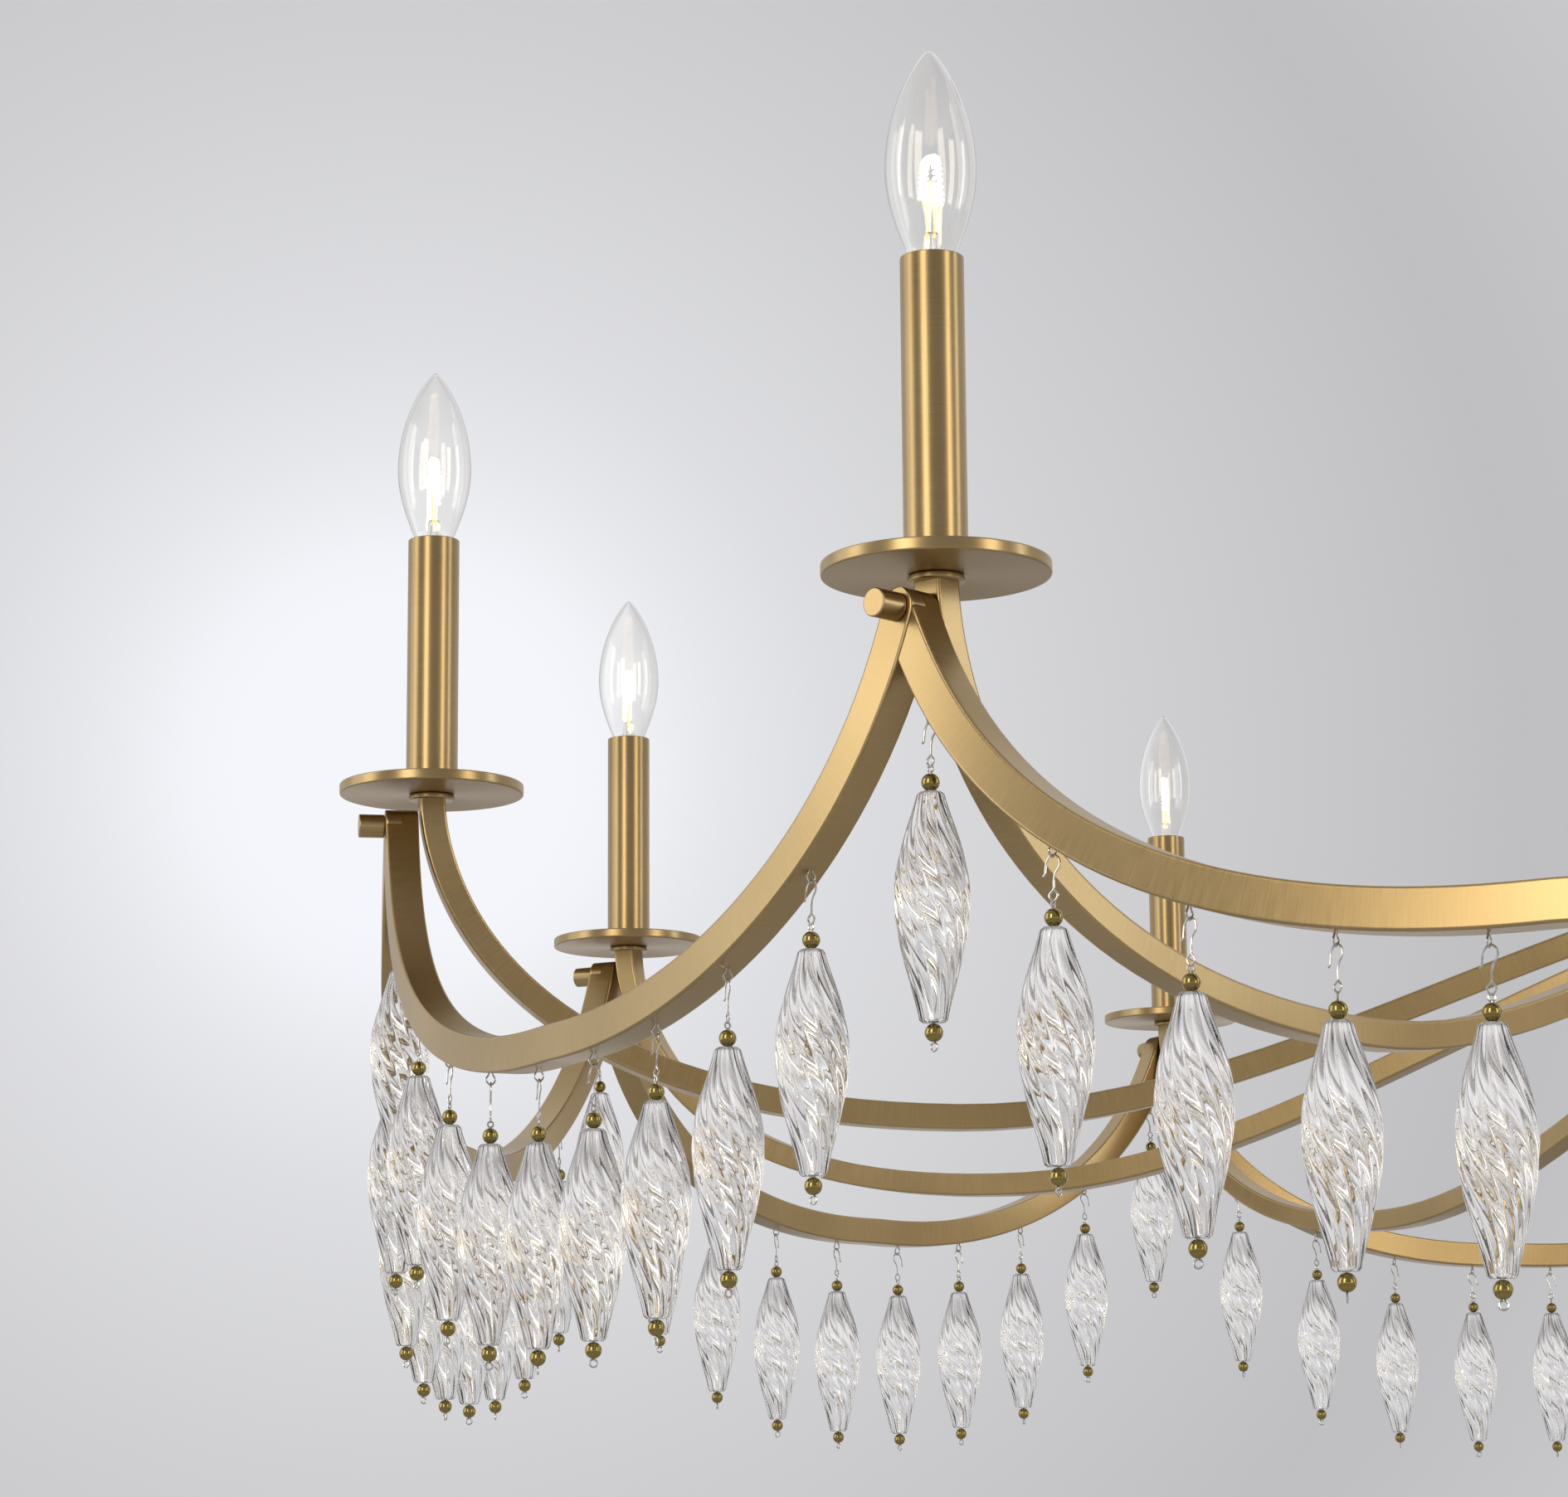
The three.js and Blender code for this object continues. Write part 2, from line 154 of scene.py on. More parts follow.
# ---- Mesh helpers ----
def mesh_from_rings(name, rings, closed=False, sharp=math.radians(40)):
    """A skin through rings of points, capped at both ends or closed on itself."""
    rows = len(rings)
    count = len(rings[0])
    verts = [point for ring in rings for point in ring]
    along = [0.0]
    for a, b in zip(rings, rings[1:] + rings[:1]):
        along.append(along[-1] + max((q - p).length for p, q in zip(a, b)))
    around = [0.0]
    widest = max(rings, key=lambda ring: (ring[0] - ring[count // 2]).length)
    for p, q in zip(widest, widest[1:] + widest[:1]):
        around.append(around[-1] + (q - p).length)
    faces = []
    uvs = []
    for row in range(rows if closed else rows - 1):
        upper = (row + 1) % rows
        for col in range(count):
            side = (col + 1) % count
            faces.append((row * count + col, row * count + side, upper * count + side, upper * count + col))
            uvs += [
                (along[row], around[col]),
                (along[row], around[col + 1]),
                (along[row + 1], around[col + 1]),
                (along[row + 1], around[col]),
            ]
    if not closed:
        last = (rows - 1) * count
        faces.append(tuple(reversed(range(count))))
        faces.append(tuple(range(last, last + count)))
        uvs += [(0.0, point.x + point.z) for point in reversed(rings[0])]
        uvs += [(0.0, point.x + point.z) for point in rings[-1]]
    mesh = bpy.data.meshes.new(name)
    mesh.from_pydata(verts, [], faces)
    layer = mesh.uv_layers.new(name="grain")
    layer.data.foreach_set("uv", [value for uv in uvs for value in uv])
    return finished(mesh, sharp)


def finished(mesh, sharp=math.radians(40)):
    """Merges doubled points, turns every face outward and smooths all but the sharp edges."""
    work = bmesh.new()
    work.from_mesh(mesh)
    bmesh.ops.remove_doubles(work, verts=work.verts, dist=1e-7)
    bmesh.ops.recalc_face_normals(work, faces=work.faces)
    work.to_mesh(mesh)
    work.free()
    mesh.polygons.foreach_set("use_smooth", [True] * len(mesh.polygons))
    mesh.set_sharp_from_angle(angle=sharp)
    return mesh


def round_corners(points, radius, steps=4, hold=0.0003, closed=False):
    """The same outline with its corners rounded, and a point either side of each to keep flats flat."""
    points = [Vector(point) for point in points]
    rounded = [] if closed else [points[0]]
    count = len(points)
    for i in range(0 if closed else 1, count if closed else count - 1):
        before, corner, after = points[i - 1], points[i], points[(i + 1) % count]
        reach = min(radius, 0.45 * (before - corner).length, 0.45 * (after - corner).length)
        into = (before - corner).normalized()
        out = (after - corner).normalized()
        start, end = corner + into * reach, corner + out * reach
        far = min(hold, 0.1 * reach + 0.00005)
        rounded.append(start + into * far)
        for k in range(steps + 1):
            t = k / steps
            rounded.append(start * (1 - t) ** 2 + corner * 2 * t * (1 - t) + end * t**2)
        rounded.append(end + out * far)
    return rounded if closed else rounded + [points[-1]]


def circle(radius, height, sides):
    """Points round a level circle about Z."""
    turns = [math.tau * k / sides for k in range(sides)]
    return [Vector((radius * math.cos(a), radius * math.sin(a), height)) for a in turns]


def turned(name, profile, sides=96, radius=0.0, closed=False):
    """A turned piece about Z from (radius, height) points, its corners rounded to the given radius."""
    outline = round_corners(profile, radius, closed=closed) if radius else profile
    rings = [circle(point[0], point[1], sides) for point in outline]
    return mesh_from_rings(name, rings, closed=closed)


def wire(name, points, radius=WIRE_RADIUS, steps=6, sides=8):
    """A round wire on a smooth path through the points."""
    path = smooth_path([Vector(point) for point in points], steps)
    normal = Vector((0, 1, 0))
    rings = []
    for i, point in enumerate(path):
        along = (path[min(i + 1, len(path) - 1)] - path[max(i - 1, 0)]).normalized()
        normal = (normal - along * normal.dot(along)).normalized()
        other = along.cross(normal)
        turns = [math.tau * k / sides for k in range(sides)]
        rings.append([point + (normal * math.cos(a) + other * math.sin(a)) * radius for a in turns])
    return mesh_from_rings(name, rings)


def smooth_path(points, steps):
    """Points on a Catmull-Rom curve through the given ones."""
    ends = [2 * points[0] - points[1]] + points + [2 * points[-1] - points[-2]]
    path = []
    for a, b, c, d in zip(ends, ends[1:], ends[2:], ends[3:]):
        knots = interpolate_bezier(b, b + (c - a) / 6, c - (d - b) / 6, c, steps + 1)
        path += knots[:-1]
    return path + [points[-1]]


def joined(name, *meshes):
    """One mesh from several, keeping their materials apart."""
    work = bmesh.new()
    result = bpy.data.meshes.new(name)
    for mesh in meshes:
        first = len(result.materials)
        for material in mesh.materials:
            result.materials.append(material)
        known = len(work.faces)
        work.from_mesh(mesh)
        work.faces.ensure_lookup_table()
        for face in work.faces[known:]:
            face.material_index += first
    work.to_mesh(result)
    work.free()
    return result


# ---- Material helpers ----
GRAIN_SCALE = (1500, 60, 1)
GRAIN_CONTRAST = 0.7


class Nodes:
    """Short names for making and linking a material's nodes."""

    def __init__(self, tree):
        self.tree = tree

    def add(self, kind, **inputs):
        """A new node with its inputs set. An underscore stands for a space in an input's name."""
        node = self.tree.nodes.new(kind)
        for name, value in inputs.items():
            node.inputs[name.replace("_", " ")].default_value = value
        return node

    def link(self, source, output, target, name):
        """Links an output of one node to the named or numbered input of another."""
        self.tree.links.new(source.outputs[output], target.inputs[name])


def new_material(name):
    """A new material, its nodes and its shader."""
    material = bpy.data.materials.new(name)
    material.use_nodes = True
    return material, Nodes(material.node_tree), material.node_tree.nodes["Principled BSDF"]


def brushed_metal(name, dark, light, roughness, turned_about_z=False):
    """Metal brushed across the piece: the grain coordinate runs fast along it and slowly around it."""
    material, nodes, shader = new_material(name)
    place = nodes.add("ShaderNodeUVMap")
    place.uv_map = "grain"
    stretch = nodes.add("ShaderNodeMapping", Scale=GRAIN_SCALE)
    lines = nodes.add("ShaderNodeTexNoise", Scale=1.0, Detail=3.0, Roughness=0.6)
    clouds = nodes.add("ShaderNodeTexNoise", Scale=14.0, Detail=1.0)
    where = nodes.add("ShaderNodeTexCoord")
    nodes.link(place, "UV", stretch, "Vector")
    nodes.link(stretch, "Vector", lines, "Vector")
    nodes.link(where, "Object", clouds, "Vector")
    blend = nodes.add("ShaderNodeMix")
    blend.data_type = "RGBA"
    blend.inputs["A"].default_value = (*dark, 1)
    blend.inputs["B"].default_value = (*light, 1)
    tone = nodes.add("ShaderNodeMath")
    tone.operation = "MULTIPLY_ADD"
    tone.inputs[1].default_value = GRAIN_CONTRAST
    nodes.link(lines, "Fac", tone, 0)
    nodes.link(clouds, "Fac", tone, 2)
    middle = nodes.add("ShaderNodeMath")
    middle.operation = "SUBTRACT"
    middle.inputs[1].default_value = GRAIN_CONTRAST / 2
    nodes.link(tone, "Value", middle, 0)
    nodes.link(middle, "Value", blend, "Factor")
    nodes.link(blend, "Result", shader, "Base Color")
    rough = nodes.add("ShaderNodeMapRange", From_Min=0.3, From_Max=0.7)
    rough.inputs["To Min"].default_value = roughness - 0.025
    rough.inputs["To Max"].default_value = roughness + 0.03
    nodes.link(lines, "Fac", rough, "Value")
    nodes.link(rough, "Result", shader, "Roughness")
    strength = 0.012 if turned_about_z else 0.045
    relief = nodes.add("ShaderNodeBump", Strength=strength, Distance=0.0002)
    nodes.link(lines, "Fac", relief, "Height")
    nodes.link(relief, "Normal", shader, "Normal")
    shader.inputs["Metallic"].default_value = 1.0
    if turned_about_z:
        around = nodes.add("ShaderNodeTangent")
        around.direction_type = "RADIAL"
        around.axis = "Z"
        nodes.link(around, "Tangent", shader, "Tangent")
        shader.inputs["Anisotropic"].default_value = 0.5
        shader.inputs["Anisotropic Rotation"].default_value = 0.25
    return material


def polished_metal(name, colour, roughness):
    """Smooth metal with faint smudges."""
    material, nodes, shader = new_material(name)
    where = nodes.add("ShaderNodeTexCoord")
    smudge = nodes.add("ShaderNodeTexNoise", Scale=420.0, Detail=3.0)
    rough = nodes.add("ShaderNodeMapRange", From_Min=0.35, From_Max=0.65)
    rough.inputs["To Min"].default_value = roughness * 0.8
    rough.inputs["To Max"].default_value = roughness * 1.3
    nodes.link(where, "Object", smudge, "Vector")
    nodes.link(smudge, "Fac", rough, "Value")
    nodes.link(rough, "Result", shader, "Roughness")
    shader.inputs["Base Color"].default_value = (*colour, 1)
    shader.inputs["Metallic"].default_value = 1.0
    return material


def clear_glass(name, tint, ripple):
    """Clear glass with a slight ripple in its surface."""
    material, nodes, shader = new_material(name)
    where = nodes.add("ShaderNodeTexCoord")
    waves = nodes.add("ShaderNodeTexNoise", Scale=150.0, Detail=2.0)
    relief = nodes.add("ShaderNodeBump", Strength=ripple, Distance=0.001)
    nodes.link(where, "Object", waves, "Vector")
    nodes.link(waves, "Fac", relief, "Height")
    nodes.link(relief, "Normal", shader, "Normal")
    shader.inputs["Base Color"].default_value = (*tint, 1)
    shader.inputs["Roughness"].default_value = 0.0
    shader.inputs["IOR"].default_value = 1.48
    shader.inputs["Transmission Weight"].default_value = 1.0
    return material


def glowing(name, colour, strength):
    """Hot tungsten, a little brighter in places. On the lead wires this glow is painted light, standing in
    for the glare round the filament.
    """
    material, nodes, shader = new_material(name)
    where = nodes.add("ShaderNodeTexCoord")
    patches = nodes.add("ShaderNodeTexNoise", Scale=900.0, Detail=1.0)
    power = nodes.add("ShaderNodeMapRange", From_Min=0.3, From_Max=0.7)
    power.inputs["To Min"].default_value = strength * 0.8
    power.inputs["To Max"].default_value = strength * 1.2
    nodes.link(where, "Object", patches, "Vector")
    nodes.link(patches, "Fac", power, "Value")
    nodes.link(power, "Result", shader, "Emission Strength")
    shader.inputs["Emission Color"].default_value = (*colour, 1)
    shader.inputs["Base Color"].default_value = (0.2, 0.15, 0.1, 1)
    return material


def make_materials():
    """Every material of the object, by the key that the pieces use."""
    return {
        "bar": brushed_metal("satin_brass_bar", (0.365, 0.262, 0.126), (0.540, 0.404, 0.206), 0.30),
        "turned": brushed_metal(
            "satin_brass_turned", (0.325, 0.233, 0.113), (0.475, 0.353, 0.182), 0.32, turned_about_z=True
        ),
        "ball": polished_metal("olive_brass", (0.32, 0.25, 0.085), 0.14),
        "wire": polished_metal("silver_wire", (0.62, 0.61, 0.59), 0.16),
        "steel": brushed_metal("zinc_steel", (0.45, 0.45, 0.46), (0.60, 0.60, 0.61), 0.36),
        "drop": clear_glass("drop_glass", (1.0, 0.998, 0.99), 0.003),
        "lamp": clear_glass("lamp_glass", (1.0, 0.998, 0.985), 0.002),
        "filament": glowing("filament", (1.0, 0.64, 0.30), 16.0),
        # painted glow: the lead wires are no lamp, their emission stands in for the glare round the filament
        "painted_glow_wire": glowing("painted_glow_wire", (1.0, 0.60, 0.28), 1.5),
    }


# ---- Bars ----
def rounded_section(half_high, half_deep, edge, shift=0.0):
    """(up, out) points round a bar's section."""
    corners = [
        (-half_high, shift - half_deep),
        (half_high, shift - half_deep),
        (half_high, shift + half_deep),
        (-half_high, shift + half_deep),
    ]
    return round_corners(corners, edge, steps=3, hold=0.0004, closed=True)


def path_with_normals(points):
    """(point, unit normal) along a curve in its own plane, as (along, height) vectors."""
    path = []
    for i, point in enumerate(points):
        run = (points[min(i + 1, len(points) - 1)] - points[max(i - 1, 0)]).normalized()
        path.append((point, Vector((-run.y, run.x))))
    return path


def bezier(start, pull, push, end, count):
    """Points on one Bezier curve in (along, height)."""
    knots = [Vector((along, height, 0)) for along, height in (start, pull, push, end)]
    return [Vector((p.x, p.y)) for p in interpolate_bezier(knots[0], knots[1], knots[2], knots[3], count)]


def swag_half(count=48):
    """The bar's centreline from its lowest point to the joint on the right."""
    return bezier(
        (0, SWAG_LOWEST_Z),
        (0.1 * SWAG_HALF_ARC, SWAG_LOWEST_Z),
        (0.796 * SWAG_HALF_ARC, SWAG_LOWEST_Z - 0.0095),
        (SWAG_HALF_ARC, PIN_Z),
        count,
    )


def swag_radius(arc):
    """Radius of the bar's middle at a distance along the ring from its lowest point."""
    share = min(abs(arc) / SWAG_HALF_ARC, 1)
    return SWAG_RADIUS - SWAG_INSET * (1 - share**2) ** 2


def wrapped(along, out, height):
    """A point of the bar, a distance along the ring from -Y and out from the bar's middle."""
    angle = along / SWAG_RADIUS
    radius = swag_radius(along) + out
    return Vector((radius * math.sin(angle), -radius * math.cos(angle), height))


def swag_layer(name, grow=0.0, inner=-SWAG_HALF, outer=SWAG_HALF, edge=EDGE):
    """The bar or a layer of it, with round ends about the pins."""
    right = path_with_normals(swag_half())
    left = [(Vector((-p.x, p.y)), Vector((-n.x, n.y))) for p, n in reversed(right[1:])]
    reach = SWAG_HALF + grow
    stations = [(p, n, reach) for p, n in left + right]
    tip_steps = 8
    for side, end in ((1, stations[-1]), (-1, stations[0])):
        run = Vector((end[1].y, -end[1].x)) * side
        tips = []
        for k in range(1, tip_steps + 1):
            turn = k / tip_steps * math.pi / 2
            half = max(reach * math.cos(turn), 0.00005)
            tips.append((end[0] + run * reach * math.sin(turn), end[1], half))
        stations = stations + tips if side == 1 else list(reversed(tips)) + stations
    deep, middle = (outer - inner) / 2, (outer + inner) / 2
    rings = []
    for point, normal, half in stations:
        section = rounded_section(half, deep, min(edge, 0.8 * half), middle)
        rings.append([wrapped(point.x + up * normal.x, out, point.y + up * normal.y) for up, out in section])
    return mesh_from_rings(name, rings)


def subtract(mesh, tools):
    """The mesh with each tool's shape cut away."""
    scene = bpy.context.scene.collection.objects
    body = bpy.data.objects.new("cut_body", mesh)
    scene.link(body)
    cutters = []
    for tool in tools:
        cutter = bpy.data.objects.new("cutter", tool)
        scene.link(cutter)
        cutters.append(cutter)
        step = body.modifiers.new("cut", "BOOLEAN")
        step.operation = "DIFFERENCE"
        step.solver = "MANIFOLD"
        step.object = cutter
    bpy.context.view_layer.update()
    result = bpy.data.meshes.new_from_object(body.evaluated_get(bpy.context.evaluated_depsgraph_get()))
    for used in [body, *cutters]:
        bpy.data.objects.remove(used)
    result.polygons.foreach_set("use_smooth", [True] * len(result.polygons))
    result.set_sharp_from_angle(angle=math.radians(40))
    return result


def swag_mesh():
    """One scalloped bar: its right end laps outside the next bar, its left end inside."""
    bar = swag_layer("swag_bar")
    left = swag_layer("left_neighbour", LAP_GAP, -0.0001, 0.012, 0.0001)
    left.transform(Matrix.Rotation(-STEP, 4, "Z"))
    right = swag_layer("right_neighbour", LAP_GAP, -0.012, 0.0001, 0.0001)
    right.transform(Matrix.Rotation(STEP, 4, "Z"))
    pocket_profile = [(0, -0.04), (POCKET_RADIUS, -0.04), (POCKET_RADIUS, 0), (0, 0)]
    pocket = turned("pocket", pocket_profile, 32)
    angle = SWING_ARC / SWAG_RADIUS - STEP / 2
    pocket.transform(Matrix.Rotation(angle, 4, "Z") @ Matrix.Translation((0, -SWAG_RADIUS, POCKET_TOP_Z)))
    return subtract(bar, [left, right, pocket])


def arm_mesh():
    """One arm's bar, from under the candle to the hub, in the plane through -Y."""
    hub_end = RING_RADIUS - HUB_RADIUS
    low = (ARM_LOWEST_AT, ARM_LOWEST_Z)
    outer = bezier((0, -0.0005), (0, -0.019), (0.009, ARM_LOWEST_Z), low, 44)
    inner = bezier(low, (low[0] + 0.15, low[1]), (hub_end - 0.15, ARM_HUB_Z), (hub_end, ARM_HUB_Z), 30)
    section = rounded_section(ARM_HIGH / 2, ARM_WIDE / 2, EDGE)
    rings = []
    for point, normal in path_with_normals(outer + inner[1:]):
        ring = [(out, point.x + up * normal.x - RING_RADIUS, point.y + up * normal.y) for up, out in section]
        rings.append([Vector(place) for place in ring])
    return mesh_from_rings("arm_bar", rings)


# ---- Candle and lamp ----
def dish_mesh():
    """The flat round dish under the candle."""
    profile = [(0.004, 0), (DISH_RADIUS, 0), (DISH_RADIUS, DISH_THICK), (0.004, DISH_THICK)]
    return turned("dish", profile, 128, radius=0.0007, closed=True)


def sleeve_mesh():
    """The tube round the candle's socket."""
    inner = SLEEVE_RADIUS - 0.0011
    profile = [
        (inner, DISH_THICK + 0.0001),
        (SLEEVE_RADIUS, DISH_THICK + 0.0001),
        (SLEEVE_RADIUS, SLEEVE_TOP),
        (inner, SLEEVE_TOP),
    ]
    return turned("sleeve", profile, 96, radius=0.0004, closed=True)


def collar_mesh():
    """The low collar between the arm and the dish."""
    profile = [
        (0.002, -COLLAR_THICK),
        (COLLAR_RADIUS, -COLLAR_THICK),
        (COLLAR_RADIUS, -0.0001),
        (0.002, -0.0001),
    ]
    return turned("collar", profile, 64, radius=0.0008, closed=True)


def nut_mesh():
    """A round thumb nut on its pin, pointing outward along -Y."""
    start = SWAG_RADIUS + SWAG_HALF + 0.0002
    profile = [(0, 0), (NUT_RADIUS, 0), (NUT_RADIUS, NUT_LONG), (0, NUT_LONG)]
    mesh = turned("nut", profile, 64, radius=0.0006)
    mesh.transform(Matrix.Translation((0, -start, PIN_Z)) @ Matrix.Rotation(math.pi / 2, 4, "X"))
    return mesh


def lamp_radius(share):
    """Outer radius of the lamp glass at a share of its height."""
    if share < LAMP_WIDEST:
        rise = math.sin(math.pi / 2 * share / LAMP_WIDEST)
        return LAMP_NECK + (LAMP_RADIUS - LAMP_NECK) * rise
    fall = (share - LAMP_WIDEST) / (1 - LAMP_WIDEST)
    return LAMP_RADIUS * math.cos(math.pi / 2 * fall) ** 0.7


def lamp_glass_mesh():
    """The hollow envelope: up its outside, over the tip and down its inside."""
    rows = 44
    shares = [1 - (1 - k / rows) ** 1.6 for k in range(rows + 1)]
    outside = [(lamp_radius(s), SLEEVE_TOP + s * LAMP_HEIGHT) for s in shares[:-1]]
    inside = [(max(r - LAMP_WALL, 0.0002), z - LAMP_WALL * 0.5) for r, z in outside]
    tip = [(0.0, SLEEVE_TOP + LAMP_HEIGHT)]
    hollow_tip = [(0.0, SLEEVE_TOP + LAMP_HEIGHT - LAMP_WALL)]
    outer_foot = [(LAMP_NECK, LAMP_FOOT_Z)]
    inner_foot = [(LAMP_NECK - LAMP_WALL, LAMP_FOOT_Z)]
    outer = turned("lamp_outer", outer_foot + outside + tip, 64)
    inner = turned("lamp_inner", inner_foot + inside + hollow_tip, 64)
    inner.flip_normals()
    return joined("lamp_glass", outer, inner)


def lamp_base_mesh():
    """The metal base, down inside the sleeve."""
    top = LAMP_FOOT_Z - 0.0001
    low = LAMP_FOOT_Z - LAMP_BASE_LONG
    profile = [(0, low), (LAMP_BASE_RADIUS, low + 0.002), (LAMP_BASE_RADIUS, top), (0, top)]
    return turned("lamp_base", profile, 48)


def lamp_stem_mesh():
    """The glass stem inside the lamp, flared at its foot and pinched at its top."""
    low = LAMP_FOOT_Z
    profile = [
        (0, low),
        (0.0058, low),
        (0.0036, low + 0.005),
        (0.0030, low + 0.010),
        (0.0026, low + 0.015),
        (0, low + 0.016),
    ]
    return turned("lamp_stem", profile, 32, radius=0.0008)


def filament_mesh():
    """A coil bent into an arch between the two support wires."""
    low = SLEEVE_TOP + 0.022
    arch = [(-0.0040, 0, low), (-0.0024, 0, low + 0.013), (0.0022, 0, low + 0.013), (0.0042, 0, low - 0.004)]
    path = smooth_path([Vector(point) for point in arch], 8)
    turns, steps = 24, 8
    points = []
    for k in range(turns * steps + 1):
        along = k / (turns * steps) * (len(path) - 1)
        first = min(int(along), len(path) - 2)
        middle = path[first].lerp(path[first + 1], along - first)
        angle = k / steps * math.tau
        points.append(middle + Vector((math.cos(angle), math.sin(angle), 0.3 * math.sin(angle))) * 0.0013)
    return wire("filament", points, radius=0.0005, steps=1, sides=6)


def support_meshes():
    """The two lead wires from the stem to the filament's ends."""
    foot = SLEEVE_TOP + 0.007
    left = [(-0.001, 0, foot), (-0.0020, 0, foot + 0.006), (-0.0040, 0, foot + 0.015)]
    right = [(0.001, 0, foot), (0.0022, 0, foot + 0.008), (0.0042, 0, foot + 0.011)]
    return joined("supports", wire("lead", left, 0.0003), wire("lead", right, 0.0003))


# ---- Glass drop. Heights are above the centre of its upper ball. ----
def glass_radius(share):
    """Outer radius at a share of the length from the top, rounded in at both rims."""
    if share < GLASS_WIDEST:
        end = GLASS_TOP_RADIUS
        swell = math.sin(math.pi / 2 * share / GLASS_WIDEST)
    else:
        end = GLASS_FOOT_RADIUS
        swell = math.cos(math.pi / 2 * (share - GLASS_WIDEST) / (1 - GLASS_WIDEST))
    rim = min(share, 1 - share) / 0.018
    return end + (GLASS_RADIUS - end) * swell**1.25 - 0.0011 * max(1 - rim, 0) ** 2


def fluted_ring(share, sides):
    """Points round the drop at a share of its length: round ribs that turn as they descend."""
    turn = TWIST * (3 * share**2 - 2 * share**3)
    height = GLASS_TOP - share * GLASS_LONG
    ring = []
    for k in range(sides):
        angle = math.tau * k / sides
        rib = abs(math.cos(FLUTES * (angle - turn) / 2)) ** 0.8
        reach = glass_radius(share) * (1 - FLUTE_DEPTH + FLUTE_DEPTH * rib)
        ring.append(Vector((reach * math.cos(angle), reach * math.sin(angle), height)))
    return ring


def drop_glass_mesh():
    """The solid fluted drop, with a hole down its middle that meets the outside at both rims."""
    rows = 60
    rim = [0.0, 0.004, 0.009, 0.014]
    body = [0.02 + 0.96 * k / rows for k in range(rows + 1)]
    shares = rim + body + [1 - share for share in reversed(rim)]
    sides = FLUTES * SIDES_PER_FLUTE
    bore = [circle(BORE_RADIUS, height, sides) for height in (GLASS_TOP - GLASS_LONG, GLASS_TOP)]
    rings = [fluted_ring(share, sides) for share in shares] + bore
    return mesh_from_rings("drop_glass", rings, closed=True, sharp=math.radians(80))


def ball_mesh(height):
    """One small ball on the pin."""
    rows = 20
    angles = [math.pi * k / rows - math.pi / 2 for k in range(rows + 1)]
    profile = [(BALL_RADIUS * math.cos(a), height + BALL_RADIUS * math.sin(a)) for a in angles]
    return turned("ball", profile, 32)


def eye_points(centre, radius, gap_turn):
    """Points round an eye, starting and ending at one side."""
    turns = [gap_turn + math.tau * k / 10 for k in range(11)]
    return [(radius * math.cos(a), 0, centre + radius * math.sin(a)) for a in turns]


def pin_mesh(materials):
    """The wire through the drop with an eye at each end, and the ball under each eye."""
    lowest = -BALL_SPACING - BALL_RADIUS
    upper_eye = wire("eye", eye_points(BALL_RADIUS + 0.0014, 0.0011, -math.pi / 2))
    lower_eye = wire("eye", eye_points(lowest - 0.0016, 0.0014, math.pi / 2))
    shank_heights = [BALL_RADIUS + 0.0004, -0.03, -0.06, lowest - 0.0003]
    shank = wire("shank", [(0, 0, height) for height in shank_heights])
    for mesh in (upper_eye, lower_eye, shank):
        mesh.materials.append(materials["wire"])
    balls = [ball_mesh(0.0), ball_mesh(-BALL_SPACING)]
    for mesh in balls:
        mesh.materials.append(materials["ball"])
    return joined("drop_pin", upper_eye, lower_eye, shank, *balls)


def hook_mesh():
    """A hook bent from wire: its crook goes into the bar and its small eye holds the pin's eye."""
    millimetres = [
        (-3.4, 13.6),
        (-2.7, 14.4),
        (-2.5, 16.0),
        (-2.0, 18.6),
        (0.0, 20.8),
        (2.2, 19.4),
        (2.3, 16.9),
        (0.9, 14.6),
        (0.3, 12.0),
        (0.2, 9.4),
        (-1.4, 7.3),
        (0.1, 5.3),
        (1.6, 7.3),
        (0.3, 9.2),
    ]
    return wire("hook", [(x / 1000, 0, z / 1000) for x, z in millimetres])


def staple_mesh(name, top, half):
    """The wire loop that holds a hook under the bar: its two legs go up into the bar."""
    bottom = HOOK_CROOK - 0.0009
    waist = bottom + 0.4 * (HOOK_LONG - bottom)
    points = [
        (0, -0.0006, top),
        (0, -0.0007, HOOK_LONG - 0.0004),
        (0, -half, waist),
        (0, 0, bottom),
        (0, half, waist),
        (0, 0.0007, HOOK_LONG - 0.0004),
        (0, 0.0006, top),
    ]
    return wire(name, points)


# ---- Hub, stem and ceiling parts ----
def ring_profile(bore, points):
    """A closed outline from a bore round the outside points."""
    return [(bore, points[0][1]), *points, (bore, points[-1][1])]


def hub_meshes():
    """The drum that the arms meet, its cap and its finial, by the name of the CAD node."""
    bore = STEM_RADIUS + 0.0003
    z = RING_Z
    drum = ring_profile(bore, [(HUB_RADIUS, z - 0.044), (HUB_RADIUS, z + 0.004)])
    cap_points = [(0.040, 0.0043), (0.038, 0.010), (0.026, 0.020), (0.014, 0.026), (0.012, 0.038)]
    cap = ring_profile(bore, [(r, z + h) for r, h in cap_points])
    finial_points = [
        (0.0, -0.0903),
        (0.005, -0.0873),
        (0.006, -0.0803),
        (0.0035, -0.0753),
        (0.014, -0.0643),
        (0.017, -0.0553),
        (0.013, -0.0473),
        (0.032, -0.0458),
        (0.032, -0.0443),
        (0.0, -0.0443),
    ]
    return {
        "hub_drum": turned("hub_drum", drum, 128, radius=0.0025, closed=True),
        "hub_top_cap": turned("hub_top_cap", cap, 96, radius=0.004, closed=True),
        "hub_finial": turned("hub_finial", [(r, z + h) for r, h in finial_points], 64, radius=0.0025),
    }


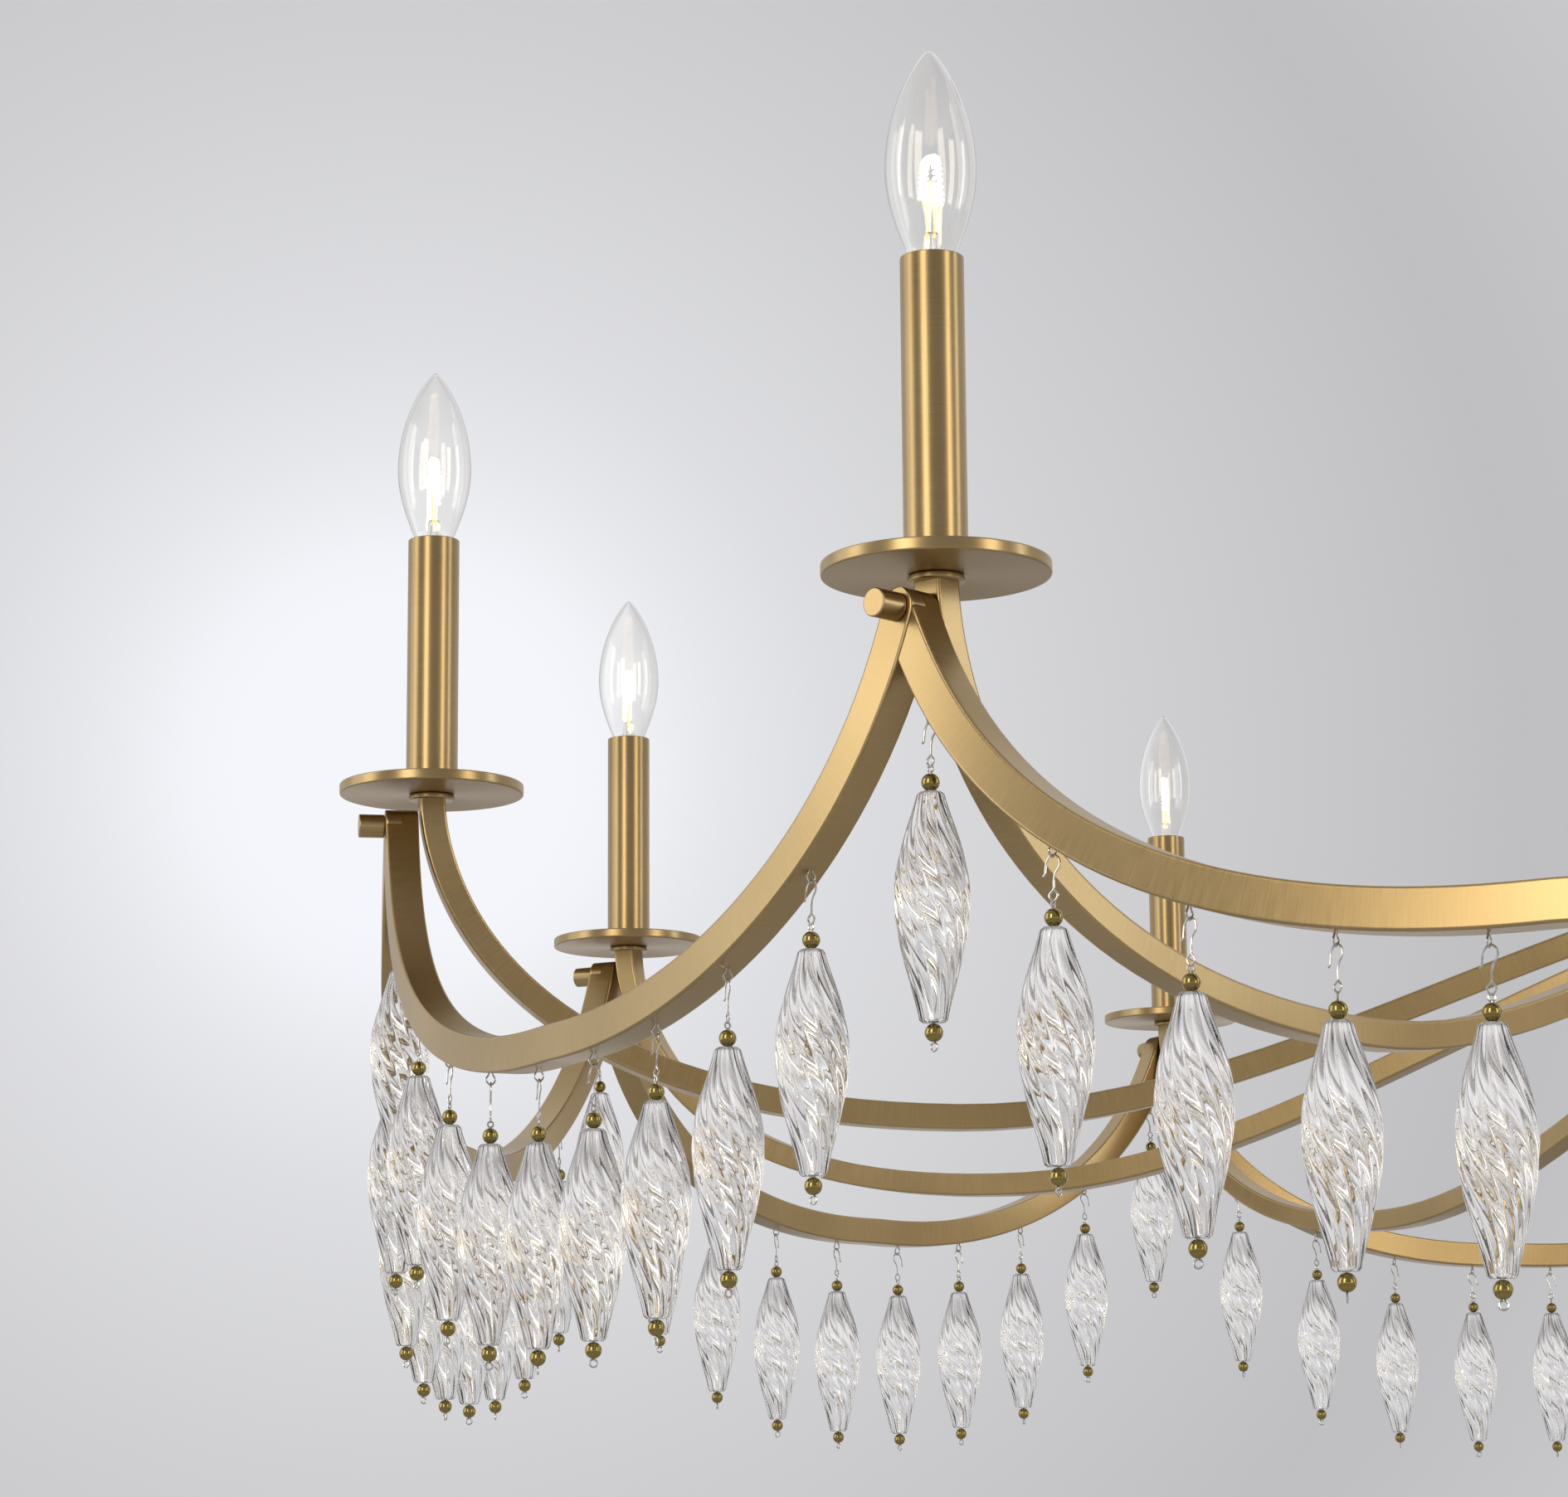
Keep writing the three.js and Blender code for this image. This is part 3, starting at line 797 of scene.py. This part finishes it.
def stem_meshes():
    """The stem's two tubes and their coupler, as long as the CAD nodes."""

    def tube(name, outer, inner, low, high):
        profile = [(inner, low), (outer, low), (outer, high), (inner, high)]
        return turned(name, profile, 64, radius=0.0005, closed=True)

    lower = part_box("stem_lower")
    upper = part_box("stem_upper")
    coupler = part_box("stem_coupler")
    return {
        "stem_lower": tube("stem_lower", STEM_RADIUS, 0.0045, lower[0].z, lower[1].z),
        "stem_upper": tube("stem_upper", STEM_RADIUS, 0.0045, upper[0].z, upper[1].z),
        "stem_coupler": tube("stem_coupler", 0.0105, STEM_RADIUS + 0.0002, coupler[0].z, coupler[1].z),
    }


def swivel_mesh():
    """The ball on the stem's top, bored for the stem."""
    rows = 28
    lowest = -math.acos(STEM_RADIUS / SWIVEL_RADIUS)
    angles = [lowest + (math.pi / 2 - lowest) * k / rows for k in range(rows + 1)]
    outside = [(SWIVEL_RADIUS * math.cos(a), SWIVEL_Z + SWIVEL_RADIUS * math.sin(a)) for a in angles]
    bore = STEM_RADIUS + 0.0003
    inside = [(0, SWIVEL_Z + 0.009), (bore, SWIVEL_Z + 0.009), (bore, outside[0][1])]
    return turned("swivel", inside + outside, 64)


def canopy_mesh():
    """The thin cup against the ceiling, open above."""
    low, high, wall = -0.044, -0.001, 0.002
    hole, rim = 0.0123, 0.065
    outside = [(hole, low), (rim - 0.014, low), (rim - 0.004, low + 0.006), (rim, low + 0.018), (rim, high)]
    inside = [
        (rim - wall, high),
        (rim - wall, low + 0.018),
        (rim - 0.004 - wall, low + 0.007),
        (rim - 0.014, low + wall),
        (hole, low + wall),
    ]
    return turned("canopy", outside + inside, 128, radius=0.0009, closed=True)


# ---- Placing ----
def add_piece(name, mesh, body, place=Matrix.Identity(4), replaces=()):
    """Links a mesh as one named piece that rides on a CAD body."""
    piece = bpy.data.objects.new(name, mesh)
    bpy.context.scene.collection.objects.link(piece)
    piece.matrix_world = place
    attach(piece, body)
    if replaces:
        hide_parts(*replaces)
    return piece


def painted(mesh, material):
    """The mesh with this material alone."""
    mesh.materials.clear()
    mesh.materials.append(material)
    return mesh


def at_angle(angle):
    """The ring's frame turned to an angle, with z = 0 at the dishes' underside."""
    return Matrix.Translation((0, 0, RING_Z)) @ Matrix.Rotation(angle, 4, "Z")


def underside(arc):
    """Height of the bar's underside at a distance along the ring from the bar's middle."""
    points = swag_half(200)
    i = next(k for k, point in enumerate(points) if point.x >= abs(arc))
    run = (points[i] - points[max(i - 1, 0)]) if i else Vector((1, 0))
    return points[i].y - SWAG_HALF * run.length / run.x


def place_drop(label, parts, staple, body, angle, radius, ball_z, turn, replaces=()):
    """Hangs one drop at an angle and radius on the ring with its upper ball at ball_z."""
    place = at_angle(angle) @ Matrix.Translation((0, -radius, ball_z))
    turned_place = place @ Matrix.Rotation(turn, 4, "Z")
    add_piece(f"drop_glass_{label}", parts["glass"], body, turned_place, replaces)
    add_piece(f"drop_pin_{label}", parts["pin"], body, turned_place)
    hook_place = place @ Matrix.Rotation(0.3 * math.sin(turn), 4, "Z")
    add_piece(f"drop_hook_{label}", parts["hook"], body, hook_place)
    add_piece(f"drop_staple_{label}", parts[staple], body, place)


def build_ring(materials):
    """Ten stations, each with its arm, bar, candle, lamp and drops."""
    bar = painted(swag_mesh(), materials["bar"])
    arm = painted(arm_mesh(), materials["bar"])
    collar = painted(collar_mesh(), materials["turned"])
    nut = painted(nut_mesh(), materials["bar"])
    dish = painted(dish_mesh(), materials["turned"])
    sleeve = painted(sleeve_mesh(), materials["turned"])
    glass = painted(lamp_glass_mesh(), materials["lamp"])
    base = painted(lamp_base_mesh(), materials["turned"])
    stem = painted(lamp_stem_mesh(), materials["lamp"])
    filament = painted(filament_mesh(), materials["filament"])
    # the lead wires carry a painted glow that stands in for the filament's glare
    supports = painted(support_meshes(), materials["painted_glow_wire"])
    parts = {
        "glass": painted(drop_glass_mesh(), materials["drop"]),
        "pin": pin_mesh(materials),
        "hook": painted(hook_mesh(), materials["wire"]),
        "row_staple": painted(staple_mesh("row_staple", HOOK_LONG + 0.003, 0.0019), materials["wire"]),
        "joint_staple": painted(staple_mesh("joint_staple", HOOK_LONG + 0.0015, 0.0013), materials["wire"]),
    }
    arcs = [FIRST_DROP + i * DROP_PITCH - SWAG_HALF_ARC for i in range(DROPS_PER_SWAG)]
    balls = [underside(arc) - HOOK_LONG for arc in arcs]
    for station in range(STATIONS):
        label = station + 1
        angle = station * STEP
        here = at_angle(angle)
        candle = here @ Matrix.Translation((0, -RING_RADIUS, 0))
        lamp = candle @ Matrix.Rotation(2.4 * station, 4, "Z")
        add_piece(f"arm_bar_{label}", arm, "fixture", here, [f"arm_{label}"])
        add_piece(f"collar_{label}", collar, "fixture", candle)
        add_piece(f"thumb_nut_{label}", nut, "fixture", here)
        add_piece(f"dish_{label}", dish, "fixture", candle, [f"candle_{label}"])
        add_piece(f"sleeve_{label}", sleeve, "fixture", candle, [f"candle_{label}"])
        add_piece(f"lamp_glass_{label}", glass, "fixture", candle, [f"bulb_{label}"])
        add_piece(f"lamp_base_{label}", base, "fixture", candle)
        add_piece(f"lamp_stem_{label}", stem, "fixture", lamp)
        add_piece(f"filament_{label}", filament, "fixture", lamp)
        add_piece(f"filament_leads_{label}", supports, "fixture", lamp)
        middle = angle + STEP / 2
        add_piece(f"swag_bar_{label}", bar, "fixture", at_angle(middle), [f"swag_{label}"])
        swing_angle = angle + SWING_ARC / SWAG_RADIUS
        swinging = [f"pendant_{label}"]
        body = f"drop_{label}"
        turn = 0.9 * station
        place_drop(
            f"{label}_v", parts, "joint_staple", body, swing_angle, SWAG_RADIUS, SWING_BALL_Z, turn, swinging
        )
        for i, (arc, ball_z) in enumerate(zip(arcs, balls), 1):
            drop_angle = middle + arc / SWAG_RADIUS
            turn = 1.7 * i + 0.6 * station
            radius = swag_radius(arc)
            place_drop(f"{label}_{i}", parts, "row_staple", "fixture", drop_angle, radius, ball_z, turn)


def build_centre(materials):
    """Hub, stem, swivel and canopy."""
    for name, mesh in {**hub_meshes(), **stem_meshes()}.items():
        piece = painted(mesh, materials["turned"])
        add_piece(f"{name}_turned", piece, "fixture", replaces=[name])
    swivel = painted(swivel_mesh(), materials["ball"])
    add_piece("swivel_ball_turned", swivel, "fixture", replaces=["swivel_ball"])
    canopy = painted(canopy_mesh(), materials["turned"])
    add_piece("canopy_spun", canopy, "ceiling_mount", replaces=["canopy"])
    strap = frame["nodes"]["mounting_strap"]
    strap.data.materials.clear()
    strap.data.materials.append(materials["steel"])


# ---- Studio ----
def build_world():
    """Pale surroundings with a soft bright patch beyond the left of the ring."""
    world = bpy.data.worlds.new("studio")
    bpy.context.scene.world = world
    world.use_nodes = True
    nodes = Nodes(world.node_tree)
    background = world.node_tree.nodes["Background"]
    where = nodes.add("ShaderNodeTexCoord")
    toward = nodes.add("ShaderNodeVectorMath")
    toward.operation = "DOT_PRODUCT"
    toward.inputs[1].default_value = BRIGHT_PATCH_TOWARD
    angle = nodes.add("ShaderNodeMath")
    angle.operation = "ARCCOSINE"
    share = nodes.add("ShaderNodeMath")
    share.operation = "DIVIDE"
    share.inputs[1].default_value = math.pi
    ramp = nodes.add("ShaderNodeValToRGB")
    stops = [
        (2.5, (0.913, 0.921, 0.965)),
        (4.0, (0.807, 0.812, 0.845)),
        (5.7, (0.725, 0.728, 0.755)),
        (9.2, (0.635, 0.635, 0.650)),
        (15.0, (0.520, 0.515, 0.530)),
        (26.0, (0.720, 0.714, 0.724)),
        (40.0, (0.760, 0.752, 0.760)),
        (75.0, (0.600, 0.590, 0.595)),
        (110.0, (0.380, 0.370, 0.370)),
    ]
    elements = ramp.color_ramp.elements
    while len(elements) < len(stops):
        elements.new(0.5)
    for element, (degrees, colour) in zip(elements, stops):
        element.position = degrees / 180
        element.color = (*colour, 1)
    nodes.link(where, "Generated", toward, 0)
    nodes.link(toward, "Value", angle, 0)
    nodes.link(angle, "Value", share, 0)
    nodes.link(share, "Value", ramp, "Fac")
    nodes.link(ramp, "Color", background, "Color")


def add_softbox(name, azimuth, height, size, brightness, colour):
    """A soft light aimed at the ring, seen in reflections but not by the camera. Angles are in degrees."""
    data = bpy.data.lights.new(name, "AREA")
    data.shape = "RECTANGLE"
    data.size, data.size_y = size
    data.energy = 4 * size[0] * size[1] * brightness
    data.color = colour
    lamp = bpy.data.objects.new(name, data)
    bpy.context.scene.collection.objects.link(lamp)
    turn, rise = math.radians(azimuth), math.radians(height)
    outward = Vector((math.cos(turn) * math.cos(rise), math.sin(turn) * math.cos(rise), math.sin(rise)))
    target = Vector((0.0, 0.0, RING_Z))
    lamp.location = target + outward * LIGHT_DISTANCE
    lamp.rotation_euler = (-outward).to_track_quat("-Z", "Y").to_euler()
    lamp.visible_camera = False


def build_studio():
    """Surroundings, softboxes and floor."""
    build_world()
    bpy.context.scene.view_settings.view_transform = "Standard"
    cool, soft, warm = (0.97, 0.99, 1.0), (1.0, 0.93, 0.80), (1.0, 0.89, 0.70)
    add_softbox("left", -143, 10, (1.0, 2.2), 0.6, cool)
    add_softbox("left_front", -125, 12, (0.8, 2.2), 1.65, soft)
    add_softbox("front_strip", -81, 12, (0.8, 2.0), 3.2, warm)
    add_softbox("right", -4, 12, (0.8, 2.2), 3.1, warm)
    add_softbox("right_back", 36, 15, (0.5, 2.0), 2.6, cool)
    build_floor()


def build_floor():
    """A pale floor with painted light: its emission grows far from the ring, standing in for the light on a
    lit studio sweep.
    """
    under = FLOOR_Z - 0.02
    floor_profile = [(0, under), (FLOOR_RADIUS, under), (FLOOR_RADIUS, FLOOR_Z), (0, FLOOR_Z)]
    floor_mesh = turned("floor", floor_profile, 64)
    material, nodes, shader = new_material("floor")
    where = nodes.add("ShaderNodeTexCoord")
    distance = nodes.add("ShaderNodeVectorMath")
    distance.operation = "LENGTH"
    glow = nodes.add("ShaderNodeMapRange", From_Min=FLOOR_GLOW_FROM, From_Max=FLOOR_GLOW_FULL)
    glow.inputs["To Min"].default_value = 0.0
    glow.inputs["To Max"].default_value = FLOOR_GLOW
    nodes.link(where, "Object", distance, 0)
    nodes.link(distance, "Value", glow, "Value")
    # painted light: this emission stands in for the studio light falling on the far floor
    nodes.link(glow, "Result", shader, "Emission Strength")
    shader.inputs["Emission Color"].default_value = (1.0, 0.99, 1.0, 1)
    shader.inputs["Base Color"].default_value = (0.56, 0.55, 0.56, 1)
    shader.inputs["Roughness"].default_value = 0.9
    floor = bpy.data.objects.new("floor", painted(floor_mesh, material))
    bpy.context.scene.collection.objects.link(floor)


def build_camera():
    """Below the ring and outside it, looking up past the nearest station."""
    data = bpy.data.cameras.new("camera")
    data.sensor_width = 36
    data.lens = CAMERA_LENS
    camera = bpy.data.objects.new("camera", data)
    bpy.context.scene.collection.objects.link(camera)
    camera.matrix_world = (
        Matrix.Translation(CAMERA_PLACE)
        @ Matrix.Rotation(CAMERA_HEADING, 4, "Z")
        @ Matrix.Rotation(math.pi / 2 + CAMERA_PITCH, 4, "X")
        @ Matrix.Rotation(CAMERA_ROLL, 4, "Z")
    )
    bpy.context.scene.camera = camera


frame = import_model()
materials = make_materials()
build_ring(materials)
build_centre(materials)
build_studio()
build_camera()
bpy.context.view_layer.update()
